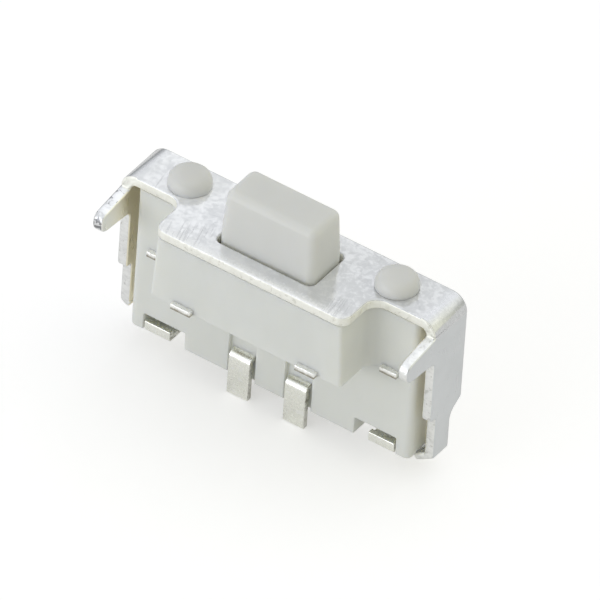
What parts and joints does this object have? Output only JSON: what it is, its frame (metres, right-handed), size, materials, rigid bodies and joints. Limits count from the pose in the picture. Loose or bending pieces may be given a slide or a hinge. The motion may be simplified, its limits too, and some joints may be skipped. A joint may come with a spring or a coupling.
{
  "type": "tactile switch",
  "caption": "Side-push surface-mount tactile switch: white moulded housing, plated sheet cover folded over both ends with board hooks, oblong push button, soldered terminals and anchor tabs.",
  "frame": {"origin": "on the housing's board seating face, at mid-length and at the housing's bottom edge", "axes": "+X along the switch, -Y out of the seating face towards the circuit board, +Z the way the button stands out"},
  "size_m": [0.007, 0.002, 0.005],
  "materials": {
    "housing_plastic": "white glass-filled moulding, satin",
    "button_plastic": "white moulding, satin",
    "cover_sheet": "bright tin-plated sheet, finely scratched",
    "lead_frame": "silver-plated brass, satin, with bright cut edges",
    "spring_sheet": "stainless spring sheet"
  },
  "bodies": {
    "base": {"housing": "housing_plastic", "cover": "cover_sheet", "terminal_left": "lead_frame", "terminal_right": "lead_frame", "anchor_left": "lead_frame", "anchor_right": "lead_frame", "contact_dome": "spring_sheet"},
    "plunger": {"button": "button_plastic"}
  },
  "joints": [
    {"name": "button_press", "type": "slide", "parent": "base", "child": "plunger", "axis": [0, 0, -1], "range_m": [0, 0.0002], "stiffness_N_per_m": 8000, "deforming": ["contact_dome"]}
  ]
}
